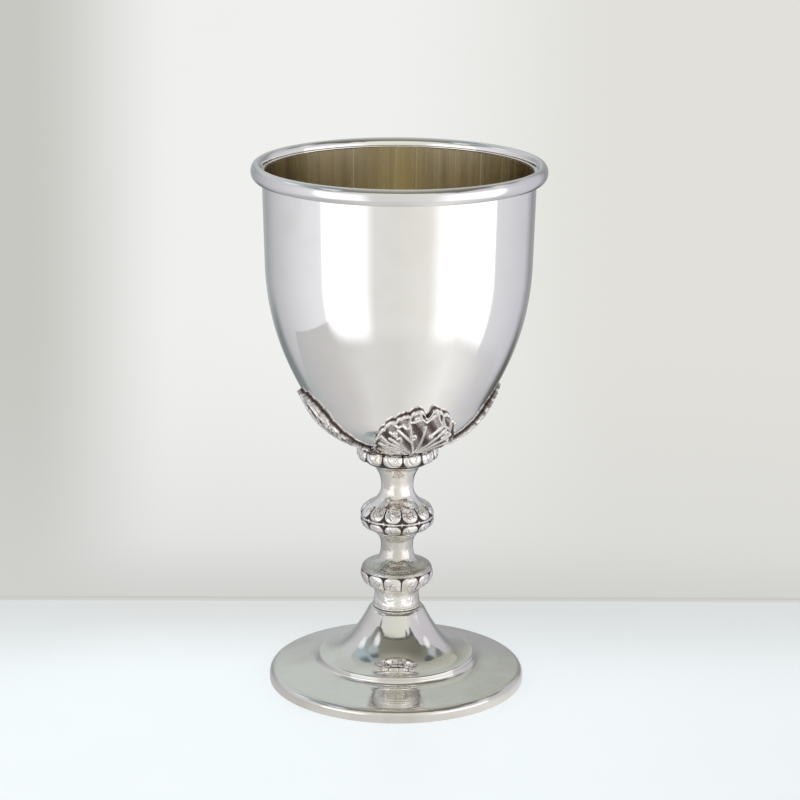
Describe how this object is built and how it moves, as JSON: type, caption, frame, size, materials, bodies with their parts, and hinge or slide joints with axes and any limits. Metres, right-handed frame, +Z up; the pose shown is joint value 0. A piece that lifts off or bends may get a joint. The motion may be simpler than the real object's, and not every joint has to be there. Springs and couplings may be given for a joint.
{
  "type": "communion chalice",
  "caption": "Stemmed cup with a rolled rim and vine-leaf calyx on a knopped stem and spun domed foot, drawn together by a threaded rod.",
  "frame": {"origin": "centre of the circle the foot stands on, at table level", "axes": "+Z up along the axis of the stem and cup; -Y towards the viewer of the front leaf; +X to that viewer's right"},
  "size_m": [0.09, 0.09, 0.1656],
  "materials": {
    "polished_silver": "mirror polished silver",
    "gilt": "polished pale gilding inside the cup",
    "chased_silver": "polished silver, oxidised dark in the chased grooves",
    "leaf_silver": "cast silver, bright ribs over oxidised dark recesses",
    "plain_silver": "as worked, lightly tarnished",
    "steel": "plain threaded steel",
    "brass": "plain turned brass"
  },
  "bodies": {
    "root": {"bowl": "polished_silver", "rim_wire": "plain_silver", "bowl_boss": "plain_silver", "collar": "chased_silver", "upper_spool": "polished_silver", "upper_knop": "chased_silver", "lower_spool": "polished_silver", "lower_knop": "chased_silver", "ferrule": "polished_silver", "foot": "polished_silver", "foot_ring": "plain_silver", "tie_rod": "steel", "washer": "brass", "nut": "brass", "vine_leaf_1": "leaf_silver", "vine_leaf_2": "leaf_silver", "vine_leaf_3": "leaf_silver", "vine_leaf_4": "leaf_silver"}
  },
  "joints": []
}
